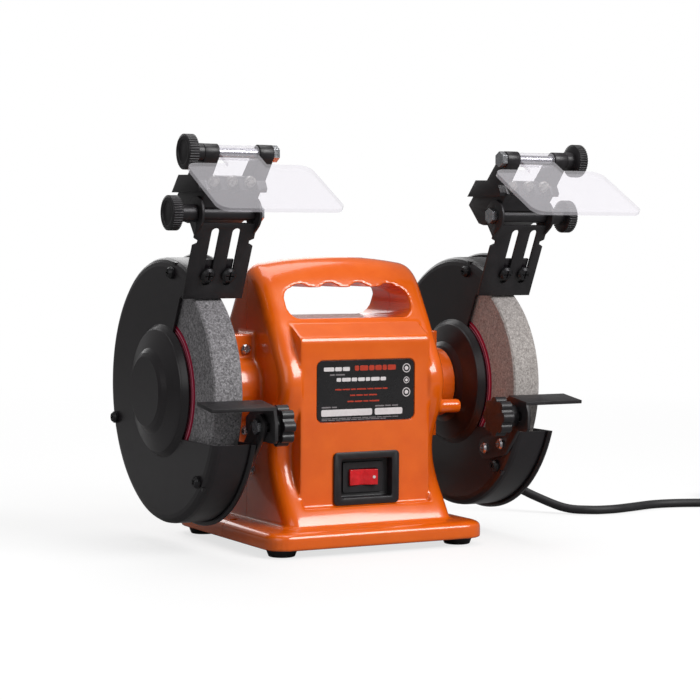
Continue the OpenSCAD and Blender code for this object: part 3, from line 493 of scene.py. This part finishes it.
def coilTurns():
    # Three turns on the floor, then two on top. Each steps over to the next near its end.
    made = []
    tracks, perTurn = cord["tracks"], 36
    for turn, (radius, height) in enumerate(tracks):
        last = turn + 1 == len(tracks)
        for k in range(19 if last else perTurn):
            f = k / perTurn
            s = 0 if last else easeStep((f - 0.6) / 0.4)
            nextRadius, nextHeight = tracks[min(turn + 1, len(tracks) - 1)]
            r, z = radius + (nextRadius - radius) * s, height + (nextHeight - height) * s
            if turn == 2:
                # Up and round the turn beside it, into the groove between two turns.
                rise = math.radians(180 - 60 * easeStep((f - 0.35) / 0.25))
                r, z = tracks[1][0] + 6.5 * math.cos(rise), height + 6.5 * math.sin(rise)
            if turn >= 2 and not last:
                z += 0.9 * math.sin(math.pi * min(max((f - 0.6) / 0.4, 0), 1))
            a = math.radians(360 * f - 90)
            x, y = cord["coilMiddle"]
            made.append(Vector((x + r * math.cos(a), y + r * math.sin(a), z)))
    return made


def makeCord():
    coil = coilTurns()
    points = smoothRoute(cord["route"], 6) + coil
    points += smoothRoute([tuple(coil[-4]), tuple(coil[-1])] + cord["tail"], 5)[6:]
    curve = bpy.data.curves.new("mainsCord", "CURVE")
    curve.dimensions = "3D"
    curve.bevel_depth = cord["diameter"] / 2000
    curve.bevel_resolution = 5
    curve.use_fill_caps = True
    spline = curve.splines.new("POLY")
    spline.points.add(len(points) - 1)
    placed = [at(*p) for p in points]
    for point, p in zip(spline.points, placed):
        point.co = (*p, 1)
    spline.use_smooth = True
    obj = bpy.data.objects.new("mainsCord", curve)
    bpy.context.collection.objects.link(obj)
    curve.materials.append(paints["blackRubber"])
    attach(obj, "frame")
    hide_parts("mains_cord", "cord_coil")
    softened("mains_plug", 0.9)
    softened("cord_tie", 0.2)


makeCord()


# ---- Housing

housing = {
    "half": 62, "edge": 9,
    "curve": [(14.2, 65), (21.5, 61.5), (29, 56.5), (38, 50), (48, 44), (58, 40.3), (68, 40), (78, 43.8),
              (89, 49.3), (100, 53), (110, 54), (120, 51.6), (131, 45.6), (144, 38), (157, 30.5), (169, 24),
              (179, 18.2), (186, 12.4), (190.4, 6), (192, 0)],
    "base": (160, 154), "voxel": 0.95, "smooth": 5,
}


def bodySkin():
    # The side outline as one smooth loop, drawn in along its normals towards both side faces.
    curve = [(d, z) for z, d in housing["curve"]]
    fine = [(p[0], p[1]) for p in smoothRoute([(d, z, 0) for d, z in curve], 5)]
    loop = [(-d, z) for d, z in fine] + [(d, z) for d, z in fine[-2::-1]]
    count = len(loop)

    def pulled(inset):
        made = []
        for i, (y, z) in enumerate(loop):
            before, after = loop[max(i - 1, 0)], loop[min(i + 1, count - 1)]
            run = Vector((after[0] - before[0], after[1] - before[1])).normalized()
            # No point sinks below the foot, where the loop would cross itself.
            foot = loop[0][1] + 0.01 * min(i, count - 1 - i)
            made.append((y + inset * run[1], max(z - inset * run[0], foot)))
        return made

    half, edge = housing["half"], housing["edge"]
    side = [(half - edge + edge * math.sin(math.radians(a)), edge * (1 - math.cos(math.radians(a))))
            for a in range(90, -1, -10)]
    stations = [(-x, inset) for x, inset in side] + [(x, 0) for x in range(-44, 45, 8)]
    stations += [(x, inset) for x, inset in side[::-1]]
    bm = bmesh.new()
    loops = []
    for x, inset in stations:
        drop = 0.145 * (x / 62) ** 2
        loops.append([bm.verts.new(at(x, y, z if z < 150 else 150 + (z - 150) * (1 - drop)))
                      for y, z in pulled(inset)])
    for a, b in zip(loops, loops[1:]):
        for i in range(count):
            j = (i + 1) % count
            bm.faces.new((a[i], a[j], b[j], b[i]))
    bm.faces.new(loops[0])
    bm.faces.new(loops[-1][::-1])
    bmesh.ops.recalc_face_normals(bm, faces=bm.faces)
    return linkMesh("bodySkin", bm)


def baseSolid(inset, top, floor):
    width, depth = (size - 2 * inset for size in housing["base"])
    # Height, how far the outline is drawn in, and its corner radius.
    steps = [(floor, 0, 14), (12.4, 0, 14), (13.8, 0.35, 13.6), (14.9, 1.2, 13), (15.7, 2.6, 12),
             (16.3, 4.4, 11), (16.9, 9, 10), (17.6, 17, 8)]
    bm = bmesh.new()
    loops = []
    for z, pull, corner in steps:
        loops.append([bm.verts.new(at(u, v, min(z, top))) for u, v in
                      rounded(width - 2 * pull, depth - 2 * pull, corner - inset / 2)])
    for a, b in zip(loops, loops[1:]):
        for i in range(len(a)):
            j = (i + 1) % len(a)
            bm.faces.new((a[i], a[j], b[j], b[i]))
    bm.faces.new(loops[0][::-1])
    bm.faces.new(loops[-1])
    return linkMesh("baseSolid", bm)


def housingOutside():
    body = bodySkin()
    combine(body, block("cut", (-48, -80, 28.6), (48, -51, 140)), "DIFFERENCE")
    panel = prism("panel", [(-52, 28), (-52, 137.2), (-51, 139.8), (-33, 150), (-20, 150), (-20, 28)],
                  -48.5, 48.5)
    combine(body, panel, "UNION")
    combine(body, baseSolid(0, 99, 5), "UNION")
    for s in (-1, 1):
        combine(body, rod("neck", (s * 56, 0, 104.5), (s * 86, 0, 104.5), 24, 96), "UNION")
        for z in (77.5, 131.5):
            low, high = sorted((s * 58, s * 78))
            combine(body, block("tab", (low, -12, z - 9.5), (high, 12, z + 9.5)), "UNION")
        for y in (-40, 40):
            combine(body, rod("boss", (s * 58, y, 91), (s * 78, y, 91), 4.7), "UNION")
    combine(body, rod("pad", (44, 50, 30), (44, 62.5, 30), 11), "UNION")
    gap = plaque("gap", (0, -90, 161.5), 94, 20, 8, 180)
    for x in (-33, -11, 11, 33):
        z = 163.6 - abs(x) * 0.03
        combine(gap, rod("hollow", (x, -90, z), (x, 90, z), 11.2), "UNION")
    combine(body, gap, "DIFFERENCE")
    return body


def housingInside():
    room = []
    for z, d in [(20, 62.2)] + [p for p in housing["curve"] if 25 < p[0] < 140]:
        room.append((-(d - 4), max(z, 20)))
    room += [(-30, 146), (30, 146)] + [(-y, z) for y, z in room[::-1]]
    inner = prism("inner", [(max(y, -49), z) for y, z in room], -57, 57)
    combine(inner, upright("hollow", rounded(153, 147, 12.5), 2, 13.6), "UNION")
    combine(inner, block("way", (-57, -55, 9), (57, 55, 22)), "UNION")
    combine(inner, rod("shaftWay", (-99, 0, 104.5), (99, 0, 104.5), 10), "UNION")
    combine(inner, rod("seats", (-77, 0, 104.5), (77, 0, 104.5), 20, 64), "UNION")
    for x in range(-36, 37, 9):
        combine(inner, block("slot", (x - 2, 20, 99), (x + 2, 70, 125)), "UNION")
    combine(inner, plaque("switchWay", (0, -60, 46.8), 44, 30, 2, 20), "UNION")
    combine(inner, plaque("labelSeat", (0, -60, 104.5), 74, 41.2, 4.6, 9), "UNION")
    combine(inner, rod("glandWay", (44, 40, 30), (44, 70, 30), 7), "UNION")
    for x in (-71, 71):
        combine(inner, rod("benchHole", (x, 0, 0), (x, 0, 30), 3), "UNION")
    return inner


def makeHousing():
    body = housingOutside()
    bake(body, ("REMESH", {"mode": "VOXEL", "voxel_size": housing["voxel"] / 1000}),
         ("SMOOTH", {"factor": 0.5, "iterations": housing["smooth"]}))
    combine(body, housingInside(), "DIFFERENCE")
    rear = body.copy()
    rear.data = body.data.copy()
    bpy.context.collection.objects.link(rear)
    # The two mouldings meet at the axle plane with a hairline joint.
    combine(body, block("half", (-100, -100, -5), (100, -0.2, 250)), "INTERSECT")
    combine(rear, block("half", (-100, 0.2, -5), (100, 100, 250)), "INTERSECT")
    body.name, rear.name = "housingFront", "housingRear"
    finishPiece(body, "frame", paints["orangePaint"], ("housing_front",), 38)
    finishPiece(rear, "frame", paints["orangePaint"], ("housing_rear",), 38)
    print("housing faces", len(body.data.polygons), len(rear.data.polygons))


makeHousing()


# ---- Label print: plain bars and rings in place of lettering

label = {
    "face": -51.75, "left": -36.4, "top": 124.5, "lift": 0.05,
    "rows": [
        # x from the left edge, z below the top, width, height, paint
        (4.5, 5.6, 20, 2.6, "printWhite"), (27.5, 5.2, 33, 3.4, "printRed"), (9, 9.3, 12, 0.9, "printGrey"),
        (14, 12.6, 40, 2.4, "printWhite"), (13, 19, 44, 0.9, "printRed"), (24, 23, 22, 0.9, "printRed"),
        (22, 27, 26, 0.9, "printRed"), (3, 30.5, 12, 0.9, "printGrey"), (43, 30.5, 18, 0.9, "printGrey"),
        (3, 34.2, 38, 4.4, "printWhite"), (43, 34.2, 21, 4.4, "printWhite"), (3, 37.9, 60, 0.5, "printGrey"),
        (3, 38.9, 52, 0.5, "printGrey"),
    ],
    "rings": [(67, 6, 3.0), (67, 14, 2.2), (67, 22, 3.0)],
}


def makeLabelPrint():
    parts = {}
    for x, drop, width, height, paint in label["rows"]:
        bm = parts.setdefault(paint, bmesh.new())
        # Word-like dashes: a long bar is broken into uneven blocks.
        pieces = 1 if height > 4 else max(1, round(width / 6))
        edge = 0
        for k in range(pieces):
            share = (1.0, 0.7, 1.25, 0.85)[(k + round(drop)) % 4] if pieces > 1 else 1
            run = width / pieces * share
            run = min(run, width - edge)
            if run > 0.8:
                middle = label["left"] + x + edge + run / 2
                addPatch(bm, middle, label["top"] - drop, run - 0.7 * (pieces > 1), height)
            edge += run
    for x, drop, radius in label["rings"]:
        bm = parts.setdefault("printWhite", bmesh.new())
        addRing(bm, label["left"] + x, label["top"] - drop, radius, radius * 0.82)
        addRing(bm, label["left"] + x, label["top"] - drop, radius * 0.45, 0.05)
    for paint, bm in parts.items():
        obj = linkMesh("label" + paint[5:], bm)
        finishPiece(obj, "frame", paints[paint])


def addPatch(bm, x, z, width, height):
    outline = rounded(width, height, min(width, height) * 0.25, 3)
    front = [bm.verts.new(at(x + u, label["face"] - label["lift"], z + v)) for u, v in outline]
    back = [bm.verts.new(at(x + u, label["face"] + 0.05, z + v)) for u, v in outline]
    bm.faces.new(front)
    for i in range(len(front)):
        j = (i + 1) % len(front)
        bm.faces.new((front[j], front[i], back[i], back[j]))
    bm.faces.new(back[::-1])


def addRing(bm, x, z, outer, inner):
    loops = []
    for radius, y in ((outer, 0.05), (outer, -label["lift"]), (inner, -label["lift"]), (inner, 0.05)):
        loops.append([bm.verts.new(at(x + radius * math.cos(a * math.pi / 16), label["face"] + y,
                                      z + radius * math.sin(a * math.pi / 16))) for a in range(32)])
    for k in range(4):
        a, b = loops[k], loops[(k + 1) % 4]
        for i in range(32):
            j = (i + 1) % 32
            bm.faces.new((a[i], a[j], b[j], b[i]))


makeLabelPrint()
print("label printed")


# ---- Knobs: a turned body from a listed profile, its ribs by Geometry Nodes

knob = {
    "ribs": 40, "ribRadius": 0.55, "radius": 10.35, "height": 7.5,
    "axes": {"low": ((-66.5, 219.5), 142, 11.8), "top": ((-82.5, 256.5), 138.6, 5.7)},
}


def ribTree():
    # Upright ribs in a ring round Z, with their count and sizes as named inputs.
    tree = bpy.data.node_groups.new("ribRing", "GeometryNodeTree")
    face = tree.interface
    for name, kind in (("Ribs", "NodeSocketInt"), ("Ring Radius", "NodeSocketFloat"),
                       ("Rib Radius", "NodeSocketFloat"), ("Rib Length", "NodeSocketFloat"),
                       ("Paint", "NodeSocketMaterial")):
        face.new_socket(name, in_out="INPUT", socket_type=kind)
    face.new_socket("Geometry", in_out="OUTPUT", socket_type="NodeSocketGeometry")
    start, end = tree.nodes.new("NodeGroupInput"), tree.nodes.new("NodeGroupOutput")
    ring = addNode(tree, "GeometryNodeMeshCircle", {"Vertices": start.outputs["Ribs"],
                                                    "Radius": start.outputs["Ring Radius"]})
    rib = addNode(tree, "GeometryNodeMeshCylinder", {"Vertices": 12, "Radius": start.outputs["Rib Radius"],
                                                     "Depth": start.outputs["Rib Length"]})
    spread = addNode(tree, "GeometryNodeInstanceOnPoints", {"Points": ring.outputs["Mesh"],
                                                            "Instance": rib.outputs["Mesh"]})
    real = addNode(tree, "GeometryNodeRealizeInstances", {"Geometry": spread.outputs["Instances"]})
    painted = addNode(tree, "GeometryNodeSetMaterial", {"Geometry": real.outputs["Geometry"],
                                                        "Material": start.outputs["Paint"]})
    tree.links.new(painted.outputs["Geometry"], end.inputs["Geometry"])
    return tree


def ribRing(tree, settings):
    holder = linkMesh("ribs", bmesh.new())
    modifier = holder.modifiers.new("ribs", "NODES")
    modifier.node_group = tree
    for item in tree.interface.items_tree:
        if item.in_out == "INPUT":
            modifier[item.identifier] = settings[item.name]
    made = bpy.data.meshes.new_from_object(holder.evaluated_get(bpy.context.evaluated_depsgraph_get()))
    holder.modifiers.clear()
    bpy.data.objects.remove(holder)
    return made


def makeKnobs():
    tree = ribTree()
    length = knob["height"] - 1.5
    ribs = ribRing(tree, {"Ribs": knob["ribs"], "Ring Radius": knob["radius"] / 1000,
                          "Rib Radius": knob["ribRadius"] / 1000, "Rib Length": length / 1000,
                          "Paint": paints["blackPlastic"]})
    for level, ((y, z), reach, collar) in knob["axes"].items():
        for sideName, side in (("left", -1), ("right", 1)):
            top, r = knob["height"], knob["radius"]
            start = (side * reach, y, z)
            profile = [(3.1, -collar), (5.1, -collar), (5.5, 0.4 - collar), (5.5, -0.2), (6.1, 0),
                       (9.2, 0), (r, 0.9), (r, top - 1), (r - 0.35, top - 0.35), (r - 1.1, top),
                       (r - 2.2, top), (r - 2.8, top - 0.4), (r - 3.1, top - 1.1),
                       (4.9, top - 1.3), (4.6, top - 1.2), (0.5, top - 1.2)]
            obj = lathe(level + "Knob" + sideName.title(), start, (side, 0, 0), profile)
            bm = bmesh.new()
            bm.from_mesh(obj.data)
            turned = bmesh.new()
            turned.from_mesh(ribs)
            place = (Matrix.Translation(at(side * (reach + top / 2), y, z))
                     @ Vector((side, 0, 0)).to_track_quat("Z", "Y").to_matrix().to_4x4())
            bmesh.ops.transform(turned, matrix=place, verts=turned.verts)
            extra = bpy.data.meshes.new("turned")
            turned.to_mesh(extra)
            turned.free()
            bm.from_mesh(extra)
            bm.to_mesh(obj.data)
            bm.free()
            node = level + "_knob_" + sideName
            finishPiece(obj, bodyOf[node], paints["blackPlastic"], (node,), 40)


makeKnobs()


# ---- Softened copies of the plainer CAD pieces

softWidths = {
    "slide_plate": 0.3, "rest": 0.3, "lamp": 0.7, "rest_knob": 0.8,
}
for stem, width in softWidths.items():
    for sideName in ("left", "right"):
        softened(stem + "_" + sideName, width)
for node, width in (("rest_arms", 0.35), ("switch_bezel", 0.5), ("feet", 0.5), ("base_plate", 0.3),
                    ("switch_rocker", 0.4)):
    softened(node, width)
dot = rod("rockerDot", (6.9, -51.1, 46.8), (6.77, -51.43, 46.8), 1.0, 24)
finishPiece(dot, "rocker", paints["printWhite"])
print("pieces softened")


# ---- Stage

studio = {
    "floor": "#FFFFFF", "floorGlow": 0.72, "farGlow": (0.5, 1.4), "ambient": 0.22, "bounce": "#8A8A8A",
    "lights": [
        # name, place, size, watts
        ("key", (0.75, -1.6, 1.35), 1.1, 38),
        ("fill", (-1.5, -0.9, 0.9), 1.2, 4.5),
        ("top", (0.1, 0.2, 1.9), 1.3, 14),
        ("back", (0.4, 1.7, 1.0), 1.2, 8),
    ],
}


def makeStage():
    bm = bmesh.new()
    bmesh.ops.create_circle(bm, cap_ends=True, segments=96, radius=12)
    floor = linkMesh("floor", bm)
    material, tree = startMaterial("paleFloor")
    # A white sweep lit from behind as much as from above, so that shadows on it stay faint.
    plain = addNode(tree, "ShaderNodeBsdfPrincipled", {
        "Base Color": linear(studio["floor"]), "Roughness": 0.6, "Specular IOR Level": 0.2})
    glow = addNode(tree, "ShaderNodeEmission", {"Color": linear(studio["floor"]), "Strength": 1.0})
    place = addNode(tree, "ShaderNodeTexCoord").outputs["Object"]
    reach = addNode(tree, "ShaderNodeVectorMath", {0: place}, operation="LENGTH")
    near, far = studio["farGlow"]
    share = addNode(tree, "ShaderNodeMapRange", {
        "Value": reach.outputs["Value"], "From Min": near, "From Max": far,
        "To Min": studio["floorGlow"], "To Max": 1.0})
    mix = addNode(tree, "ShaderNodeMixShader", {0: share.outputs[0], 1: plain.outputs[0], 2: glow.outputs[0]})
    # Only the eye sees it glow. What the machine mirrors and is lit by is a duller sheet.
    dull = addNode(tree, "ShaderNodeBsdfPrincipled", {
        "Base Color": linear(studio["bounce"]), "Roughness": 0.8, "Specular IOR Level": 0.0})
    path = addNode(tree, "ShaderNodeLightPath")
    seen = addNode(tree, "ShaderNodeMixShader", {0: path.outputs["Is Camera Ray"], 1: dull.outputs[0],
                                                 2: mix.outputs[0]})
    addNode(tree, "ShaderNodeOutputMaterial", {"Surface": seen.outputs[0]})
    floor.data.materials.append(material)
    world = bpy.data.worlds.new("studio")
    world.use_nodes = True
    # White to the eye, dimmer as a light, so that the shapes keep their contrast.
    path = addNode(world.node_tree, "ShaderNodeLightPath")
    share = addNode(world.node_tree, "ShaderNodeMapRange", {
        "Value": path.outputs["Is Camera Ray"], "To Min": studio["ambient"], "To Max": 1.0})
    sky = world.node_tree.nodes["Background"]
    sky.inputs["Color"].default_value = (1, 1, 1, 1)
    world.node_tree.links.new(share.outputs["Result"], sky.inputs["Strength"])
    bpy.context.scene.world = world
    for name, place, size, watts in studio["lights"]:
        data = bpy.data.lights.new(name, "AREA")
        data.shape, data.size, data.energy = "SQUARE", size, watts
        light = bpy.data.objects.new(name, data)
        light.location = place
        light.rotation_euler = (Vector((0, 0, 0.12)) - Vector(place)).to_track_quat("-Z", "Y").to_euler()
        bpy.context.collection.objects.link(light)
    bpy.context.scene.view_settings.view_transform = "Standard"


makeStage()
print("stage set")
